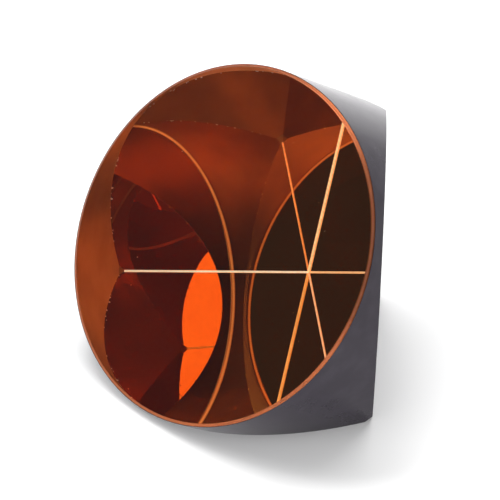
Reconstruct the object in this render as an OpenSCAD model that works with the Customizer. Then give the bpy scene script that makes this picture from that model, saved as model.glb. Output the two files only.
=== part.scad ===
// Corner-cube prism: a round block of glass with a flat polished front face and three
// polished back faces, square to each other, which meet at one apex. A copper film makes
// the back faces mirrors, and a dark lacquer covers the copper from outside.
//
// The prism stands on its lower back face. Of the other two, one closes the rear and one
// the right-hand side. The three roof edges run from the apex to the left, towards the
// viewer and upright, and the front face looks left, towards the viewer and up.
// The origin is on the standing plane, under the middle of the bounding box.

/* [Glass] */
// Diameter of the ground barrel
glass_d = 64; // [20:0.5:120]
// Shortest length of the barrel, at the middle of each back face
land = 2.75; // [1.5:0.05:20]
// Leg of the ground bevel round the front face
front_bevel = 0.45; // [0.2:0.05:1.2]
// Height of the ground bevel on the three back corners of the barrel, from the sharp corner
corner_bevel = 1; // [0.6:0.05:4]

/* [Roof edges] */
// Width of the ground flat along the edge that runs left
left_flat = 0.35; // [0.2:0.05:2]
// Width of the ground flat along the edge that runs towards the viewer
near_flat = 0.3; // [0.2:0.05:2]
// Width of the ground flat along the upright edge
upright_flat = 0.5; // [0.2:0.05:2]

/* [Coats] */
// Thickness of the copper film
film_t = 0.05; // [0.02:0.01:0.3]
// Thickness of the lacquer over the copper
lacquer_t = 0.1; // [0.05:0.01:0.5]

/* [Hidden] */
glass_r = glass_d / 2;
// A back face meets the barrel at this height over the apex, measured along the axis
face_h = glass_r * sqrt(2);
apex_h = face_h + land;
// The coats end where the bevel of the front face begins
coat_top = apex_h - front_bevel;
coat_t = film_t + lacquer_t;
coat_r = glass_r + coat_t;

// The axis leaves the apex at the same angle to all three roof edges
axis_tilt = acos(1 / sqrt(3));
axis_turn = 225;

// A roof edge meets the barrel at this height, and its bevel halves the angle of the corner
edge_h = glass_r / sqrt(2);
corner_h = edge_h + corner_bevel;
corner_slope = axis_tilt / 2;

// Reach of the coated rim from the apex, alike to the left, to the viewer and up
rim_reach = coat_top / sqrt(3) + coat_r * sqrt(2 / 3);
apex = [(rim_reach - coat_t) / 2, (rim_reach - coat_t) / 2, coat_t];

// How far each ground flat sets back the two faces that it parts
left_back = left_flat / sqrt(2);
near_back = near_flat / sqrt(2);
upright_back = upright_flat / sqrt(2);

// Width of each flat, and the turn that takes up to its outward side
LEFT = 0;
NEAR = 1;
UPRIGHT = 2;
flat_w = [left_flat, near_flat, upright_flat];
flat_turn = [[-135, 0, 0], [0, 135, 0], [0, 90, 45]];
// Turn that takes up to the far side of the plane that halves each roof edge
mitre_turn = [[-45, 0, 0], [0, 45, 0], [0, 90, -45]];

// Larger than the whole prism, for cutting blocks
block = 2 * (apex_h + coat_r);
$fn = 180;

glass_colour = [0.80, 0.42, 0.24, 0.45];
copper_colour = [0.85, 0.45, 0.22];
ground_copper_colour = [0.62, 0.30, 0.17];
lacquer_colour = [0.22, 0.22, 0.24];

// Places children made round the apex, with the back faces along the planes of the frame
module at_apex() {
    translate(apex) children();
}

// Turns the Z axis onto the axis of the prism
module on_axis() {
    rotate([0, axis_tilt, axis_turn]) children();
}

// All space on the far side of a plane, which up is turned onto
module beyond(turn, distance) {
    rotate(turn) translate([-block / 2, -block / 2, distance]) cube(block);
}

// Round rod along the axis with the barrel moved out by grow. Below, it tapers to a point
// far behind the apex, and that cone is the bevel of the back corners. Above, it ends in
// the rim, a list of points from the barrel to the axis.
module rod(grow, rim) {
    radius = glass_r + grow;
    corner = corner_h - grow * tan(corner_slope / 2);
    point = corner - radius / tan(corner_slope);
    on_axis() rotate_extrude() polygon(concat([[0, point], [radius, corner]], rim));
}

// Rod for a coat, which ends square at the back of the front bevel or runs past it
module coat_rod(grow, top) {
    rod(grow, [[glass_r + grow, top], [0, top]]);
}

// Rod for the glass, with the bevelled rim of the front face
module glass_rod() {
    rod(0, [[glass_r, coat_top], [glass_r - front_bevel, apex_h], [0, apex_h]]);
}

// Trims children to the three back faces and the three flats, all moved out by grow
module trim_back(grow) {
    difference() {
        intersection() {
            children();
            translate([grow - block, grow - block, -grow]) cube(block);
        }
        for (edge = [LEFT, NEAR, UPRIGHT]) beyond(flat_turn[edge], grow - flat_w[edge] / 2);
    }
}

// Space behind each back face, up to the flats beside it and as thick as the film
module lower_slab() {
    translate([-near_back - block, -left_back - block, -film_t]) cube([block, block, film_t]);
}

module rear_slab() {
    translate([-upright_back - block, 0, left_back]) cube([block, film_t, block]);
}

module side_slab() {
    translate([0, -upright_back - block, near_back]) cube([film_t, block, block]);
}

// Film on one back face: the part of its slab inside the barrel
module face_film() {
    color(copper_colour) at_apex() intersection() {
        coat_rod(0, coat_top);
        children();
    }
}

// Film on the flat of one roof edge, between the films of the two faces beside it.
// Where the flats meet at the apex, an edge ends against those that come before it.
module edge_film(edge) {
    color(ground_copper_colour) at_apex() difference() {
        intersection() {
            trim_back(film_t) coat_rod(0, coat_top);
            beyond(flat_turn[edge], -flat_w[edge] / 2);
        }
        lower_slab();
        rear_slab();
        side_slab();
        for (earlier = [0 : 1 : edge - 1]) beyond(flat_turn[earlier], -flat_w[earlier] / 2);
    }
}

// Lacquer behind the copper of the back faces and flats, inside the barrel's own coat
module back_lacquer() {
    difference() {
        trim_back(coat_t) coat_rod(film_t, coat_top);
        trim_back(film_t) coat_rod(coat_t, apex_h);
    }
}

// Coat round the barrel and its back corners, which also covers the ends of the coats behind
module sleeve(inner, outer) {
    difference() {
        trim_back(outer) coat_rod(outer, coat_top);
        coat_rod(inner, apex_h);
    }
}

module glass_body() {
    color(glass_colour) at_apex() trim_back(0) glass_rod();
}

module mirror_film_lower() {
    face_film() lower_slab();
}

module mirror_film_rear() {
    face_film() rear_slab();
}

module mirror_film_side() {
    face_film() side_slab();
}

module edge_film_left() {
    edge_film(LEFT);
}

module edge_film_near() {
    edge_film(NEAR);
}

module edge_film_upright() {
    edge_film(UPRIGHT);
}

module barrel_film() {
    color(ground_copper_colour) at_apex() sleeve(0, film_t);
}

module lacquer_lower() {
    color(lacquer_colour) at_apex() difference() {
        back_lacquer();
        beyond(mitre_turn[LEFT], 0);
        beyond(mitre_turn[NEAR], 0);
    }
}

module lacquer_rear() {
    color(lacquer_colour) at_apex() difference() {
        intersection() {
            back_lacquer();
            beyond(mitre_turn[LEFT], 0);
        }
        beyond(mitre_turn[UPRIGHT], 0);
    }
}

module lacquer_side() {
    color(lacquer_colour) at_apex() intersection() {
        back_lacquer();
        beyond(mitre_turn[NEAR], 0);
        beyond(mitre_turn[UPRIGHT], 0);
    }
}

module barrel_lacquer() {
    color(lacquer_colour) at_apex() sleeve(film_t, coat_t);
}

glass_body();
mirror_film_lower();
mirror_film_rear();
mirror_film_side();
edge_film_left();
edge_film_near();
edge_film_upright();
barrel_film();
lacquer_lower();
lacquer_rear();
lacquer_side();
barrel_lacquer();
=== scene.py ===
"""Looks of a copper-coated corner-cube prism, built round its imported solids.

The glass block is modelled here, because its coated faces have to lie a hair inside the
copper for light to meet the copper without an air gap. The copper films and the lacquer
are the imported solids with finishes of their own. Lengths are in metres and finishes read
Object coordinates in millimetres.
"""

import logging
import math
from dataclasses import dataclass, field
from enum import Enum
from typing import Any

import bmesh
import bpy
from mathutils import Euler, Matrix, Vector


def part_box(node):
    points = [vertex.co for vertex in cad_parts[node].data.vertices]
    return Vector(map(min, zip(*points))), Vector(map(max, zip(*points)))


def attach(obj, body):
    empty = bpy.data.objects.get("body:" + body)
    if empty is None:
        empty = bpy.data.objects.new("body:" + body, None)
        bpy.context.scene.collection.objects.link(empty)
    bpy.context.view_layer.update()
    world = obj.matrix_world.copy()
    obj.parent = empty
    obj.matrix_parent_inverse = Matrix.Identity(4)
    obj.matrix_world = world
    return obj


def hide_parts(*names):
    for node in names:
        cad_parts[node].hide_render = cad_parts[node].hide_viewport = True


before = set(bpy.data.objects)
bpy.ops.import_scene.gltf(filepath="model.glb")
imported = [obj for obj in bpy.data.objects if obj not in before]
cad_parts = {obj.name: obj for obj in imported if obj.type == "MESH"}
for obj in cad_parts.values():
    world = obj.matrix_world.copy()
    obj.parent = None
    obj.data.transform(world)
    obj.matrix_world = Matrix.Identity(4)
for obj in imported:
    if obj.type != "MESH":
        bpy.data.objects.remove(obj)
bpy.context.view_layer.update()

log = logging.getLogger("prism")

Colour = tuple[float, float, float]
Point = tuple[float, float, float]
Span = tuple[float, float]

MM = 0.001
WHITE: Colour = (1.0, 1.0, 1.0)
# Part of a noise's range over which one tone turns into another
PATCHY: Span = (0.35, 0.7)
# Cosine over which two directions count as the same
SAME_WAY = 0.99
# Watts per square metre at which the face of a lamp has a radiance of one
LAMP_POWER = 4.0


class BackFace(Enum):
    """The three mirrored faces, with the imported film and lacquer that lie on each."""

    LOWER = "lower"
    REAR = "rear"
    SIDE = "side"

    @property
    def film(self) -> str:
        """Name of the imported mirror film."""
        return f"mirror_film_{self.value}"

    @property
    def lacquer(self) -> str:
        """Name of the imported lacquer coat."""
        return f"lacquer_{self.value}"


class RoofEdge(Enum):
    """The three edges between back faces, named for where they run from the apex."""

    LEFT = "left"
    NEAR = "near"
    UPRIGHT = "upright"

    @property
    def film(self) -> str:
        """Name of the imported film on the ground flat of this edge."""
        return f"edge_film_{self.value}"


class GlassPatch(Enum):
    """Material slots of the glass block."""

    POLISHED = 0
    GROUND = 1


class Wire:
    """A value in a node tree, on which Python operators add Math nodes."""

    def __init__(self, tree: "Finish", socket: bpy.types.NodeSocket) -> None:
        """Keeps the tree and the output socket that carries the value."""
        self.tree = tree
        self.socket = socket

    def _math(self, operation: str, first: Any, second: Any) -> "Wire":
        """Adds one Math node.

        Args:
            operation: Math node operation.
            first: Wire or number for the first socket.
            second: Wire or number for the second socket.

        Returns:
            The node's value.
        """
        node = self.tree.node("ShaderNodeMath", {"operation": operation}, {0: first, 1: second})
        return Wire(self.tree, node.outputs[0])

    def __add__(self, other: Any) -> "Wire":
        """Sum."""
        return self._math("ADD", self, other)

    def __radd__(self, other: Any) -> "Wire":
        """Sum with a number on the left."""
        return self._math("ADD", other, self)

    def __sub__(self, other: Any) -> "Wire":
        """Difference."""
        return self._math("SUBTRACT", self, other)

    def __rsub__(self, other: Any) -> "Wire":
        """Difference from a number on the left."""
        return self._math("SUBTRACT", other, self)

    def __mul__(self, other: Any) -> "Wire":
        """Product."""
        return self._math("MULTIPLY", self, other)

    def __rmul__(self, other: Any) -> "Wire":
        """Product with a number on the left."""
        return self._math("MULTIPLY", other, self)

    def __truediv__(self, other: Any) -> "Wire":
        """Quotient."""
        return self._math("DIVIDE", self, other)

    def __rtruediv__(self, other: Any) -> "Wire":
        """Quotient of a number on the left."""
        return self._math("DIVIDE", other, self)

    def __lt__(self, other: Any) -> "Wire":
        """One where the value is smaller than the other, zero elsewhere."""
        return self._math("LESS_THAN", self, other)

    def __gt__(self, other: Any) -> "Wire":
        """One where the value is larger, which also serves a number on the left of <."""
        return self._math("GREATER_THAN", self, other)

    def least(self, other: Any) -> "Wire":
        """The smaller of two values."""
        return self._math("MINIMUM", self, other)

    def most(self, other: Any) -> "Wire":
        """The larger of two values."""
        return self._math("MAXIMUM", self, other)

    def ramp(self, low: float, high: float) -> "Wire":
        """A smooth step.

        Args:
            low: Value at which the step leaves zero.
            high: Value at which it reaches one.

        Returns:
            The stepped value.
        """
        node = self.tree.node(
            "ShaderNodeMapRange",
            {"interpolation_type": "SMOOTHSTEP"},
            {"Value": self, "From Min": low, "From Max": high},
        )
        return Wire(self.tree, node.outputs["Result"])


class Finish:
    """A node tree under construction, for a material or the world."""

    def __init__(self, owner: bpy.types.Material | bpy.types.World) -> None:
        """Clears the owner's node tree and keeps it.

        Args:
            owner: The material or world that the tree belongs to.
        """
        owner.use_nodes = True
        self.owner = owner
        self.nodes = owner.node_tree.nodes
        self.links = owner.node_tree.links
        self.nodes.clear()

    def node(
        self,
        kind: str,
        settings: dict[str, Any] | None = None,
        sockets: dict[str | int, Any] | None = None,
    ) -> bpy.types.Node:
        """Adds one node.

        Args:
            kind: Node type.
            settings: Values of the node's own properties, which are set first.
            sockets: Numbers, colours, Wires or output sockets for its inputs.

        Returns:
            The new node.
        """
        node = self.nodes.new(kind)
        for name, value in (settings or {}).items():
            setattr(node, name, value)
        for name, value in (sockets or {}).items():
            if isinstance(value, Wire):
                self.links.new(value.socket, node.inputs[name])
            elif isinstance(value, bpy.types.NodeSocket):
                self.links.new(value, node.inputs[name])
            elif isinstance(value, tuple) and node.inputs[name].type == "RGBA":
                node.inputs[name].default_value = (*value, 1.0)
            else:
                node.inputs[name].default_value = value
        return node

    def value(self, node: bpy.types.Node, output: str | int) -> Wire:
        """One output of a node, ready for arithmetic."""
        return Wire(self, node.outputs[output])

    def place(self) -> bpy.types.NodeSocket:
        """Object coordinates.

        Returns:
            The socket that carries them, in millimetres.
        """
        coordinates = self.node("ShaderNodeTexCoord")
        scaled = self.node(
            "ShaderNodeVectorMath",
            {"operation": "SCALE"},
            {0: coordinates.outputs["Object"], "Scale": 1 / MM},
        )
        return scaled.outputs[0]

    def along(self, place: bpy.types.NodeSocket, way: Vector) -> Wire:
        """How far a place lies along a direction.

        Args:
            place: Coordinates in millimetres.
            way: The direction, of length one.

        Returns:
            The distance from the origin along it, in millimetres.
        """
        dot = self.node("ShaderNodeVectorMath", {"operation": "DOT_PRODUCT"}, {0: place, 1: way})
        return self.value(dot, "Value")

    def noise(self, place: bpy.types.NodeSocket, per_mm: float, detail: float = 2.0) -> Wire:
        """Noise with a mean of about a half.

        Args:
            place: Coordinates in millimetres.
            per_mm: Waves per millimetre.
            detail: Octaves of finer noise.

        Returns:
            The noise as a value.
        """
        node = self.node(
            "ShaderNodeTexNoise", None, {"Vector": place, "Scale": per_mm, "Detail": detail}
        )
        return self.value(node, "Fac")

    def specks(
        self, place: bpy.types.NodeSocket, per_mm: float, size: float, bare: float = 0.6
    ) -> Wire:
        """Round dots at random places.

        Args:
            place: Coordinates in millimetres.
            per_mm: Cells per millimetre, each with one dot at most.
            size: Largest radius of a dot, in cells.
            bare: Share of the cells that stay without a dot.

        Returns:
            One in a dot, zero elsewhere.
        """
        cells = self.node("ShaderNodeTexVoronoi", None, {"Vector": place, "Scale": per_mm})
        chance = self.node("ShaderNodeSeparateColor", None, {0: cells.outputs["Color"]})
        reach = (self.value(chance, 0) - bare) * (size / (1.0 - bare))
        return self.value(cells, "Distance") < reach

    def blend(self, share: Wire, first: Any, second: Any) -> bpy.types.NodeSocket:
        """Mixes two colours.

        Args:
            share: Share of the second colour.
            first: Colour or socket where the share is zero.
            second: Colour or socket where the share is one.

        Returns:
            The mixed colour's socket.
        """
        mix = self.node("ShaderNodeMix", {"data_type": "RGBA"}, {0: share, 6: first, 7: second})
        return mix.outputs[2]

    def bump(self, height: Wire, depth: float, strength: float) -> bpy.types.NodeSocket:
        """A bumped normal.

        Args:
            height: Height as a value from 0 to 1.
            depth: Height of one unit, in metres.
            strength: Share of the bump that shows.

        Returns:
            The normal's socket.
        """
        node = self.node(
            "ShaderNodeBump", None, {"Height": height, "Distance": depth, "Strength": strength}
        )
        return node.outputs[0]

    def surface(self, shader: bpy.types.NodeSocket) -> None:
        """Ends the tree in a shader.

        Args:
            shader: The shader's output socket.
        """
        of_world = isinstance(self.owner, bpy.types.World)
        kind = "ShaderNodeOutputWorld" if of_world else "ShaderNodeOutputMaterial"
        self.node(kind, None, {"Surface": shader})


@dataclass(frozen=True)
class PrismFrame:
    """Sizes of the prism and its place in the frame.

    The lean is how far the front face was ground off square, in degrees upwards and to the
    right. The tilt and the turn take straight up onto the axis, in radians.
    """

    radius: float = 32.0 * MM
    land: float = 2.75 * MM
    front_bevel: float = 0.45 * MM
    corner_bevel: float = 1.0 * MM
    lean: tuple[float, float] = (-0.4135, -0.1567)
    axis_tilt: float = math.acos(1 / math.sqrt(3))
    axis_turn: float = math.radians(225)

    @property
    def apex(self) -> Vector:
        """Where the three back faces of the glass meet."""
        return Vector((
            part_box(BackFace.SIDE.film)[0].x,
            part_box(BackFace.REAR.film)[0].y,
            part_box(BackFace.LOWER.film)[1].z,
        ))

    @property
    def axis(self) -> Vector:
        """Way from the apex to the middle of the front face."""
        return Vector((-1.0, -1.0, 1.0)).normalized()

    @property
    def across(self) -> tuple[Vector, Vector]:
        """Ways across the axis, upwards and to the right."""
        return Vector((1.0, 1.0, 2.0)).normalized(), Vector((1.0, -1.0, 0.0)).normalized()

    @property
    def front_way(self) -> Vector:
        """Way that the front face looks.

        Returns:
            The direction, a hair off the axis.
        """
        above, right = self.across
        rise, turn = (math.radians(angle) for angle in self.lean)
        return (self.axis + above * rise + right * turn).normalized()

    @property
    def turn(self) -> Euler:
        """Turn that takes Z onto the axis."""
        return Euler((0.0, self.axis_tilt, self.axis_turn))

    @property
    def front(self) -> float:
        """Height of the front face over the apex, along the axis."""
        return self.radius * math.sqrt(2) + self.land

    @property
    def coat_top(self) -> float:
        """Height at which the coats end and the bevel of the front face begins."""
        return self.front - self.front_bevel

    @property
    def corner(self) -> float:
        """Height at which the bevel of the back corners leaves the barrel."""
        return self.radius / math.sqrt(2) + self.corner_bevel

    def up(self, height: float) -> Vector:
        """The point of the axis at a height over the apex."""
        return self.apex + self.axis * height

    def aside(self, tree: Finish, place: bpy.types.NodeSocket, angle: float) -> Wire:
        """How far a place in a finish lies to one side of the axis.

        Args:
            tree: The finish.
            place: Its coordinates in millimetres.
            angle: The side, in degrees from straight up towards the right.

        Returns:
            The distance from the axis towards that side, in radii of the barrel.
        """
        above, right = self.across
        turn = math.radians(angle)
        way = above * math.cos(turn) + right * math.sin(turn)
        return (tree.along(place, way) - self.apex.dot(way) / MM) / (self.radius / MM)

    def off_axis(self, tree: Finish, place: bpy.types.NodeSocket) -> Wire:
        """Distance from the axis in a finish.

        Args:
            tree: The finish.
            place: Its coordinates in millimetres.

        Returns:
            The distance in millimetres.
        """
        from_apex = tree.node(
            "ShaderNodeVectorMath", {"operation": "SUBTRACT"}, {0: place, 1: self.apex / MM}
        ).outputs[0]
        across = tree.node(
            "ShaderNodeVectorMath", {"operation": "CROSS_PRODUCT"}, {0: from_apex, 1: self.axis}
        ).outputs[0]
        length = tree.node("ShaderNodeVectorMath", {"operation": "LENGTH"}, {0: across})
        return tree.value(length, "Value")


@dataclass(frozen=True)
class PolishedGlass:
    """Clear optical glass, polished, with faint wiping haze."""

    index: float = 1.538
    haze: float = 0.004
    smears_per_mm: float = 0.09
    smeared: Span = (0.56, 0.74)

    def make(self) -> bpy.types.Material:
        """Builds the material.

        Returns:
            The finished material.
        """
        tree = Finish(bpy.data.materials.new("polished_glass"))
        smear = tree.noise(tree.place(), self.smears_per_mm, detail=4.0).ramp(*self.smeared)
        shader = tree.node("ShaderNodeBsdfPrincipled", None, {
            "Base Color": WHITE,
            "Roughness": smear * self.haze,
            "IOR": self.index,
            "Transmission Weight": 1.0,
        })
        tree.surface(shader.outputs[0])
        return tree.owner


@dataclass(frozen=True)
class GroundGlass:
    """The fine-ground bevel round the front face, with a bloom of copper on it.

    Along the middle of the bevel and high on the right the bloom is bright and lets light
    through; along its two edges and low on the left it is dark and lets little through. The
    bright colour and the light let through high on the right are painted light, and the dark
    colour and the little light let through low on the left are painted shade, set by where light
    falls. The lit side is in degrees from straight up towards the right, its span in radii of the
    barrel, and the width of the middle in halves of the bevel. Scatter is the share of light let
    through, where dark and where bright.
    """

    thin: Colour = (0.92, 0.23, 0.085)
    worn: Colour = (0.78, 0.195, 0.075)
    # Painted shade: the colour low on the left, also used along the two edges
    painted_shade: Colour = (0.36, 0.105, 0.04)
    frost: Colour = (0.98, 0.62, 0.5)
    scatter: Span = (0.08, 0.9)
    lit_side: float = 45.0
    lit_span: Span = (-0.5, -0.1)
    clear_width: Span = (0.0, 0.9)
    roughness: float = 0.3
    grain_roughness: float = 0.2
    grains_per_mm: float = 3.0
    grain_depth: float = 0.02 * MM
    grain_strength: float = 0.3

    def make(self, prism: PrismFrame) -> bpy.types.Material:
        """Builds the material.

        Args:
            prism: Where the prism stands, for the sides with painted light and painted shade.

        Returns:
            The finished material.
        """
        tree = Finish(bpy.data.materials.new("ground_glass"))
        place = tree.place()
        grain = tree.noise(place, self.grains_per_mm, detail=3.0)
        # Nought at the outer edge of the bevel, one along its middle, two at its inner edge
        inward = (prism.radius - prism.off_axis(tree, place) * MM) / (prism.front_bevel / 2)
        middle = inward.least(2.0 - inward).ramp(*self.clear_width)
        # Painted light and shade: clear rises high on the right, where light falls, and drops low
        # on the left; it sets the copper's colour and the light let through
        clear = prism.aside(tree, place, self.lit_side).ramp(*self.lit_span) * middle
        least, most = self.scatter
        bloom = tree.blend(grain.ramp(*PATCHY), self.thin, self.worn)
        shader = tree.node("ShaderNodeBsdfPrincipled", None, {
            "Base Color": tree.blend(clear, self.painted_shade, bloom),
            "Metallic": 1.0,
            "Roughness": self.roughness + self.grain_roughness * grain,
            "Normal": tree.bump(grain, self.grain_depth, self.grain_strength),
        })
        frost = tree.node("ShaderNodeBsdfTranslucent", None, {"Color": self.frost})
        both = tree.node("ShaderNodeMixShader", None, {
            0: least + (most - least) * clear, 1: shader.outputs[0], 2: frost.outputs[0],
        })
        tree.surface(both.outputs[0])
        return tree.owner


@dataclass(frozen=True)
class CopperMirror:
    """Bright copper film on a polished face, chipped here and there along its round rim.

    A chip opens where its noise passes the start, and for each unit over it reaches so many
    millimetres in from the rim.
    """

    bright: Colour = (0.87, 0.555, 0.26)
    dull: Colour = (0.85, 0.52, 0.24)
    chip: Colour = (0.97, 0.78, 0.6)
    chip_roughness: float = 0.7
    chips_per_mm: float = 1.6
    chip_start: float = 0.62
    chip_reach: float = 2.4
    pits_per_mm: float = 0.22
    pit_size: float = 0.035
    clouds_per_mm: float = 0.06

    def make(self, prism: PrismFrame) -> bpy.types.Material:
        """Builds the material.

        Args:
            prism: Where the prism stands, for the distance to the rim.

        Returns:
            The finished material.
        """
        tree = Finish(bpy.data.materials.new("copper_mirror"))
        place = tree.place()
        clouds = tree.noise(place, self.clouds_per_mm, detail=3.0).ramp(*PATCHY)
        rim = prism.radius / MM - prism.off_axis(tree, place)
        chance = tree.noise(place, self.chips_per_mm, detail=1.0)
        chipped = rim < (chance - self.chip_start) * self.chip_reach
        worn = chipped.most(tree.specks(place, self.pits_per_mm, self.pit_size))
        shader = tree.node("ShaderNodeBsdfPrincipled", None, {
            "Base Color": tree.blend(worn, tree.blend(clouds, self.bright, self.dull), self.chip),
            "Metallic": 1.0,
            "Roughness": worn * self.chip_roughness,
        })
        tree.surface(shader.outputs[0])
        return tree.owner


@dataclass(frozen=True)
class GroundCopper:
    """Copper on the fine-ground barrel, with painted shade high on the right and a painted
    highlight at the top.

    Sides are in degrees from straight up towards the right, and spans in radii of the barrel.
    """

    light: Colour = (0.45, 0.165, 0.065)
    dark: Colour = (0.37, 0.125, 0.045)
    # Painted shade: colour of the copper high on the right
    shade_colour: Colour = (0.12, 0.045, 0.02)
    # Painted highlight: colour of the copper at the top
    bright: Colour = (0.95, 0.35, 0.13)
    shaded_side: float = 45.0
    shaded_span: Span = (0.5, 0.85)
    highlight_side: float = -29.0
    highlight_span: Span = (0.86, 0.97)
    roughness: float = 0.46
    grain_roughness: float = 0.12
    highlight_roughness: float = 0.35
    clouds_per_mm: float = 0.12
    clouded: Span = (0.3, 0.7)
    grains_per_mm: float = 6.0
    grain_depth: float = 0.01 * MM
    grain_strength: float = 0.3

    def make(self, prism: PrismFrame) -> bpy.types.Material:
        """Builds the material.

        Args:
            prism: Where the prism stands, for the sides with painted shade and painted highlight.

        Returns:
            The finished material.
        """
        tree = Finish(bpy.data.materials.new("ground_copper"))
        place = tree.place()
        clouds = tree.noise(place, self.clouds_per_mm, detail=3.0)
        grain = tree.noise(place, self.grains_per_mm)
        bare = tree.blend(clouds.ramp(*self.clouded), self.light, self.dark)
        # Painted shade: the copper turns dark high on the right
        painted_shade_mask = prism.aside(tree, place, self.shaded_side).ramp(*self.shaded_span)
        # Painted highlight: the copper turns bright and rougher at the top
        painted_highlight = prism.aside(tree, place, self.highlight_side).ramp(*self.highlight_span)
        # worn is here the copper with the painted highlight at the top, not wear
        worn = tree.blend(painted_highlight, bare, self.bright)
        rough = self.roughness + self.grain_roughness * grain + self.highlight_roughness * painted_highlight
        shader = tree.node("ShaderNodeBsdfPrincipled", None, {
            "Base Color": tree.blend(painted_shade_mask, worn, self.shade_colour),
            "Metallic": 1.0,
            "Roughness": rough,
            "Normal": tree.bump(grain, self.grain_depth, self.grain_strength),
        })
        tree.surface(shader.outputs[0])
        return tree.owner


@dataclass(frozen=True)
class EdgeCopper:
    """Copper on the narrow ground flat of one roof edge.

    A ground flat gathers light from all round the barrel and shows as a bright line, more than
    the few light paths that reach it can carry. A weak glow, painted light, makes up for the
    rest.
    """

    edge: RoofEdge
    light: Colour
    dark: Colour
    glow: float = 0.6
    roughness: float = 0.6
    grain_roughness: float = 0.2
    grains_per_mm: float = 2.5

    def make(self) -> bpy.types.Material:
        """Builds the material.

        Returns:
            The finished material.
        """
        tree = Finish(bpy.data.materials.new(f"edge_copper_{self.edge.value}"))
        grain = tree.noise(tree.place(), self.grains_per_mm, detail=3.0)
        tone = tree.blend(grain.ramp(*PATCHY), self.light, self.dark)
        shader = tree.node("ShaderNodeBsdfPrincipled", None, {
            "Base Color": tone,
            "Roughness": self.roughness + self.grain_roughness * grain,
            # Painted light: the flat glows in its own tone
            "Emission Color": tone,
            "Emission Strength": self.glow,
        })
        tree.surface(shader.outputs[0])
        return tree.owner


@dataclass(frozen=True)
class DarkLacquer:
    """Dark blue-grey protective lacquer, semi-matt, brushed on thinly."""

    thick: Colour = (0.019, 0.014, 0.024)
    thin: Colour = (0.028, 0.022, 0.034)
    sheen: Colour = (1.0, 0.93, 1.0)
    sheen_weight: float = 0.15
    sheen_roughness: float = 0.3
    index: float = 1.3
    roughness: float = 0.08
    cloud_roughness: float = 0.14
    clouds_per_mm: float = 0.25
    peel_per_mm: float = 1.8
    peel_depth: float = 0.015 * MM
    peel_strength: float = 0.25

    def make(self) -> bpy.types.Material:
        """Builds the material.

        Returns:
            The finished material.
        """
        tree = Finish(bpy.data.materials.new("dark_lacquer"))
        place = tree.place()
        clouds = tree.noise(place, self.clouds_per_mm, detail=4.0)
        peel = tree.noise(place, self.peel_per_mm)
        shader = tree.node("ShaderNodeBsdfPrincipled", None, {
            "Base Color": tree.blend(clouds.ramp(*PATCHY), self.thick, self.thin),
            "Roughness": self.roughness + self.cloud_roughness * clouds,
            "IOR": self.index,
            "Specular Tint": self.sheen,
            "Sheen Weight": self.sheen_weight,
            "Sheen Roughness": self.sheen_roughness,
            "Sheen Tint": self.sheen,
            "Normal": tree.bump(peel, self.peel_depth, self.peel_strength),
        })
        tree.surface(shader.outputs[0])
        return tree.owner


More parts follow.
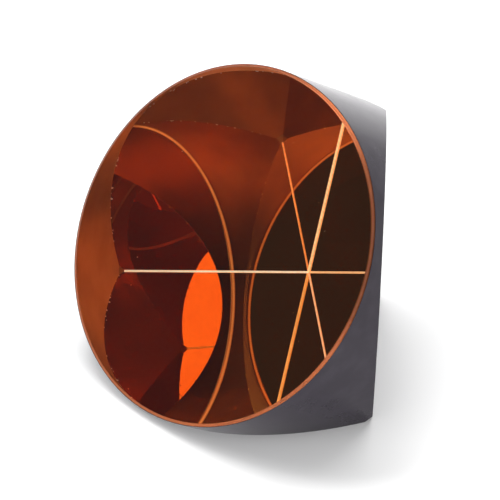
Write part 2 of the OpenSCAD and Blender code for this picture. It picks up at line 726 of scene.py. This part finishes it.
@dataclass
class GlassBlock:
    """The glass: a round rod cut to three back faces and three ground flats.

    The seat is how far its coated faces lie inside the copper, and the overrun how far the
    rod runs past the apex before it is cut.
    """

    prism: PrismFrame
    sides: int = 192
    seat: float = 0.015 * MM
    overrun: float = 4.0 * MM
    flats: dict[RoofEdge, float] = field(default_factory=lambda: {
        RoofEdge.LEFT: 0.35 * MM,
        RoofEdge.NEAR: 0.3 * MM,
        RoofEdge.UPRIGHT: 0.5 * MM,
    })
    smooth_under: float = math.radians(12)

    def build(self) -> bpy.types.Object:
        """Models the block.

        Returns:
            The finished object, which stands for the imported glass.
        """
        block = self._rod()
        self._bevel_front(block)
        self._taper_back(block)
        self._cut_back()
        bpy.ops.mesh.select_all(action="SELECT")
        bpy.ops.mesh.normals_make_consistent(inside=False)
        bpy.ops.object.mode_set(mode="OBJECT")
        bpy.ops.object.shade_smooth_by_angle(angle=self.smooth_under)
        return block

    def dress(self, block: bpy.types.Object) -> None:
        """Gives the bevel its ground finish and the rest the polished one.

        Args:
            block: The modelled glass.
        """
        block.data.materials.append(PolishedGlass().make())
        block.data.materials.append(GroundGlass().make(self.prism))
        axis = self.prism.axis
        for face in block.data.polygons:
            high = (face.center - self.prism.apex).dot(axis) > self.prism.coat_top
            bevelled = high and face.normal.dot(axis) < SAME_WAY
            face.material_index = (GlassPatch.GROUND if bevelled else GlassPatch.POLISHED).value
        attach(block, "root")
        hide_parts("glass_body")

    def _rod(self) -> bpy.types.Object:
        """Adds the round rod between the back corners and the front bevel, in edit mode.

        Returns:
            The new object.
        """
        prism = self.prism
        bpy.ops.object.select_all(action="DESELECT")
        bpy.ops.mesh.primitive_cylinder_add(
            vertices=self.sides,
            radius=prism.radius + self.seat,
            depth=prism.coat_top - prism.corner,
            end_fill_type="NGON",
            location=prism.up((prism.coat_top + prism.corner) / 2),
            rotation=prism.turn,
        )
        block = bpy.context.object
        block.name = block.data.name = "glass_block"
        bpy.ops.object.transform_apply(location=True, rotation=True, scale=True)
        bpy.ops.object.mode_set(mode="EDIT")
        bpy.ops.mesh.select_mode(type="FACE")
        return block

    def _select_end(self, block: bpy.types.Object, way: Vector) -> None:
        """Selects the flat end that looks along a direction.

        Args:
            block: The object in edit mode.
            way: Direction of the end's normal.
        """
        bpy.ops.mesh.select_all(action="DESELECT")
        mesh = bmesh.from_edit_mesh(block.data)
        mesh.normal_update()
        for face in mesh.faces:
            face.select_set(face.normal.dot(way) > SAME_WAY)
        mesh.select_flush_mode()
        bmesh.update_edit_mesh(block.data)

    def _draw_end(self, way: Vector, length: float, middle: Vector, scale: float) -> None:
        """Extrudes the selected end and scales it about the axis.

        Args:
            way: Direction of the extrusion.
            length: Its length.
            middle: Point of the axis in the new end.
            scale: New radius over the old one.
        """
        bpy.ops.mesh.extrude_region_move(TRANSFORM_OT_translate={"value": way * length})
        bpy.ops.transform.resize(value=(scale, scale, scale), center_override=middle)

    def _bevel_front(self, block: bpy.types.Object) -> None:
        """Draws the front end out to the bevel and the front face.

        Args:
            block: The object in edit mode.
        """
        prism = self.prism
        self._select_end(block, prism.axis)
        scale = (prism.radius - prism.front_bevel) / (prism.radius + self.seat)
        self._draw_end(prism.axis, prism.front_bevel, prism.up(prism.front), scale)
        self._lean_end(prism.up(prism.front))

    def _lean_end(self, middle: Vector) -> None:
        """Turns the selected front end by the small angle that it was ground off square.

        Args:
            middle: Point of the axis in the end.
        """
        turn = self.prism.axis.rotation_difference(self.prism.front_way).to_euler("XYZ")
        for name, angle in zip("XYZ", turn):
            bpy.ops.transform.rotate(value=-angle, orient_axis=name, center_override=middle)

    def _taper_back(self, block: bpy.types.Object) -> None:
        """Draws the back end out past the apex as the cone that bevels the back corners.

        Args:
            block: The object in edit mode.
        """
        prism = self.prism
        self._select_end(block, -prism.axis)
        length = prism.corner + self.overrun
        slope = math.tan(prism.axis_tilt / 2)
        radius = prism.radius + self.seat
        scale = (radius - length * slope) / radius
        self._draw_end(-prism.axis, length, prism.up(prism.corner - length), scale)

    def _cut_back(self) -> None:
        """Cuts the rod to the back faces and the flats of the roof edges."""
        apex = self.prism.apex
        for way in (Vector((1, 0, 0)), Vector((0, 1, 0)), Vector((0, 0, -1))):
            self._cut(apex + way * self.seat, way)
        outward = {
            RoofEdge.LEFT: Vector((0, 1, -1)),
            RoofEdge.NEAR: Vector((1, 0, -1)),
            RoofEdge.UPRIGHT: Vector((1, 1, 0)),
        }
        for edge, way in outward.items():
            way.normalize()
            self._cut(apex + way * (self.seat - self.flats[edge] / 2), way)

    @staticmethod
    def _cut(point: Vector, way: Vector) -> None:
        """Cuts off and closes all that lies beyond a plane.

        Args:
            point: A point of the plane.
            way: The plane's normal, towards what is cut off.
        """
        bpy.ops.mesh.select_all(action="SELECT")
        bpy.ops.mesh.bisect(
            plane_co=point, plane_no=way, use_fill=True, clear_outer=True, threshold=1e-8
        )


@dataclass
class Coats:
    """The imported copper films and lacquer, which keep their solids and get finishes."""

    prism: PrismFrame
    # Painted light: each edge has its own tones for its colour and glow, lightest on the left
    # edge and deepest on the near edge, by how light reaches it
    edges: tuple[EdgeCopper, ...] = (
        EdgeCopper(RoofEdge.LEFT, light=(1.0, 0.78, 0.52), dark=(0.97, 0.66, 0.42)),
        EdgeCopper(RoofEdge.NEAR, light=(1.0, 0.48, 0.22), dark=(0.95, 0.40, 0.18)),
        EdgeCopper(RoofEdge.UPRIGHT, light=(1.0, 0.60, 0.27), dark=(0.96, 0.50, 0.20)),
    )

    def dress(self) -> list[str]:
        """Gives each packed coat its finish.

        Returns:
            Names of the dressed nodes.
        """
        mirror = CopperMirror().make(self.prism)
        barrel = GroundCopper().make(self.prism)
        lacquer = DarkLacquer().make()
        finishes = {face.film: mirror for face in BackFace}
        finishes.update({copper.edge.film: copper.make() for copper in self.edges})
        finishes["barrel_film"] = barrel
        finishes.update({face.lacquer: lacquer for face in BackFace})
        finishes["barrel_lacquer"] = lacquer
        for name, material in finishes.items():
            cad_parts[name].material_slots[0].material = material
        return list(finishes)


def way_to(azimuth: float, elevation: float) -> Vector:
    """Direction from the prism into the studio.

    Args:
        azimuth: Degrees from the camera's side of the studio, to the right.
        elevation: Degrees over the floor.

    Returns:
        The direction, of length one.
    """
    turn, rise = math.radians(azimuth), math.radians(elevation)
    return Vector((
        math.sin(turn) * math.cos(rise), -math.cos(turn) * math.cos(rise), math.sin(rise)
    ))


@dataclass
class Softbox:
    """A rectangular studio lamp that faces the prism, with its place in degrees."""

    name: str
    azimuth: float
    elevation: float
    width: float
    height: float
    distance: float
    radiance: float

    def build(self, target: Vector) -> None:
        """Hangs the lamp.

        Args:
            target: The point that it faces.
        """
        way = way_to(self.azimuth, self.elevation)
        bpy.ops.object.select_all(action="DESELECT")
        bpy.ops.object.light_add(
            type="AREA",
            location=target + way * self.distance,
            rotation=way.to_track_quat("Z", "Y").to_euler(),
        )
        lamp = bpy.context.object
        lamp.name = self.name
        lamp.data.shape = "RECTANGLE"
        lamp.data.size, lamp.data.size_y = self.width, self.height
        lamp.data.energy = LAMP_POWER * self.radiance * self.width * self.height
        lamp.visible_camera = False


@dataclass
class Drape:
    """A dark studio drape, bent round the side that the prism looks at.

    It reaches so many degrees from its middle. Its radiance rises from the first value to the
    second over a span of the way back from the camera, in radii of the drape.
    """

    azimuth: float = -45.0
    elevation: float = 35.0
    radius: float = 2.4
    reach: float = 95.0
    radiance: Span = (0.037, 0.26)
    rising: Span = (-0.6, 0.5)

    def build(self, target: Vector) -> None:
        """Hangs the drape where glass and metal see it and matt surfaces don't.

        Args:
            target: The point that it bends round.
        """
        way = way_to(self.azimuth, self.elevation)
        bpy.ops.object.select_all(action="DESELECT")
        bpy.ops.mesh.primitive_uv_sphere_add(
            segments=48, ring_count=24, radius=self.radius, location=target
        )
        drape = bpy.context.object
        drape.name = drape.data.name = "dark_drape"
        bpy.ops.object.transform_apply(location=True, rotation=True, scale=True)
        bpy.ops.object.mode_set(mode="EDIT")
        bpy.ops.mesh.select_all(action="SELECT")
        edge = target + way * (self.radius * math.cos(math.radians(self.reach)))
        bpy.ops.mesh.bisect(plane_co=edge, plane_no=way, clear_inner=True)
        bpy.ops.object.mode_set(mode="OBJECT")
        drape.data.materials.append(self._cloth())
        drape.visible_camera = False
        drape.visible_diffuse = False
        drape.visible_shadow = False

    def _cloth(self) -> bpy.types.Material:
        """Builds the drape's material.

        Returns:
            The finished material.
        """
        tree = Finish(bpy.data.materials.new("dark_drape"))
        near, far = self.radiance
        depth = tree.along(tree.place(), Vector((0.0, 1.0, 0.0)))
        back = depth.ramp(*(share * self.radius / MM for share in self.rising))
        glow = tree.node("ShaderNodeEmission", None, {"Strength": near + (far - near) * back})
        tree.surface(glow.outputs[0])
        return tree.owner


@dataclass
class Studio:
    """Floor, light and camera.

    The fill is the strength of the surroundings for matt surfaces, and the lift a glow that
    takes the floor to white. The angles are the camera's, in degrees, and the eye is its place
    from the apex in millimetres.
    """

    prism: PrismFrame
    fill: float = 0.5
    floor_size: float = 60.0
    floor_colour: Colour = (0.85, 0.85, 0.85)
    floor_lift: float = 0.12
    azimuth: float = -0.396
    elevation: float = 34.427
    roll: float = 2.512
    eye: Point = (-16.715, -881.863, 612.274)
    lens: float = 428.3
    sensor: float = 36.0
    farthest: float = 200.0
    bounces: int = 32
    glass_bounces: int = 16
    # Each lamp with its azimuth, elevation, width, height, distance and radiance
    lamps: list[Softbox] = field(default_factory=lambda: [
        Softbox("high_softbox", -29.3, 51, 0.5, 0.25, 1.5, 1.75),
        Softbox("low_softbox", -12, 6, 1.2, 0.3, 1.5, 4.5),
        Softbox("side_softbox", -58, 5, 1.1, 0.28, 1.5, 5.0),
        Softbox("middle_softbox", -64, 22, 0.35, 0.35, 1.5, 6.0),
        Softbox("left_softbox", -104, 42, 0.6, 0.6, 1.5, 2.9),
        Softbox("rear_softbox", -145, 68, 0.7, 0.4, 1.5, 9.0),
        Softbox("back_softbox", 165, 55, 1.6, 1.2, 2.0, 2.8),
    ])

    def build(self) -> None:
        """Sets up the stage round the finished prism."""
        self._view()
        self._world()
        self._floor()
        middle = self.prism.up(self.prism.front / 2)
        Drape().build(middle)
        for lamp in self.lamps:
            lamp.build(middle)
        self._camera()

    def _view(self) -> None:
        """Plain colours, and enough bounces for light that crosses the prism many times."""
        scene = bpy.context.scene
        scene.view_settings.view_transform = "Standard"
        scene.cycles.max_bounces = self.bounces
        scene.cycles.glossy_bounces = self.bounces
        scene.cycles.transmission_bounces = self.glass_bounces

    @staticmethod
    def _seen(tree: Finish) -> Wire:
        """Tells what the eye sees from what only gives light.

        Args:
            tree: The finish of the floor or the world.

        Returns:
            One for what is seen directly, in metal or through glass, and zero elsewhere.
        """
        path = tree.node("ShaderNodeLightPath")
        camera = tree.value(path, "Is Camera Ray")
        glossy = tree.value(path, "Is Glossy Ray")
        through = tree.value(path, "Is Transmission Ray")
        return (camera + glossy + through).least(1.0)

    def _world(self) -> None:
        """White surroundings, dimmer for the light that they give to matt surfaces."""
        world = bpy.data.worlds.new("studio")
        bpy.context.scene.world = world
        tree = Finish(world)
        strength = self.fill + (1.0 - self.fill) * self._seen(tree)
        sky = tree.node("ShaderNodeBackground", None, {"Color": WHITE, "Strength": strength})
        tree.surface(sky.outputs[0])

    def _floor(self) -> None:
        """A plain pale floor that shows white and keeps the shadow."""
        bpy.ops.object.select_all(action="DESELECT")
        bpy.ops.mesh.primitive_plane_add(size=self.floor_size)
        floor = bpy.context.object
        floor.name = "floor"
        tree = Finish(bpy.data.materials.new("floor"))
        matt = tree.node("ShaderNodeBsdfDiffuse", None, {"Color": self.floor_colour})
        lift = tree.node("ShaderNodeEmission", None, {
            "Color": WHITE, "Strength": self.floor_lift * self._seen(tree),
        })
        both = tree.node("ShaderNodeAddShader", None, {0: matt.outputs[0], 1: lift.outputs[0]})
        tree.surface(both.outputs[0])
        floor.data.materials.append(tree.owner)

    def _camera(self) -> None:
        """The camera at the photograph's angle."""
        turn, rise, roll = (math.radians(a) for a in (self.azimuth, self.elevation, self.roll))
        look = Vector((
            math.sin(turn) * math.cos(rise), math.cos(turn) * math.cos(rise), -math.sin(rise)
        ))
        level = Vector((math.cos(turn), -math.sin(turn), 0.0))
        upright = level.cross(look)
        right = level * math.cos(roll) + upright * math.sin(roll)
        above = upright * math.cos(roll) - level * math.sin(roll)
        data = bpy.data.cameras.new("camera")
        data.sensor_width = self.sensor
        data.lens = self.lens
        data.clip_end = self.farthest
        camera = bpy.data.objects.new("camera", data)
        bpy.context.scene.collection.objects.link(camera)
        stand = Matrix.Translation(self.prism.apex + Vector(self.eye) * MM)
        turned = Matrix((right, above, -look)).transposed()
        camera.matrix_world = stand @ turned.to_4x4()
        bpy.context.scene.camera = camera


def main() -> None:
    """Builds the prism piece by piece and sets the stage."""
    logging.basicConfig(level=logging.INFO, format="%(name)s: %(message)s")
    prism = PrismFrame()
    glass = GlassBlock(prism)
    block = glass.build()
    glass.dress(block)
    log.info("%s: %d faces", block.name, len(block.data.polygons))
    for name in Coats(prism).dress():
        log.info("%s: dressed", name)
    Studio(prism).build()
    log.info("stage: floor, drape, lamps and camera")


if __name__ == "__main__":
    main()
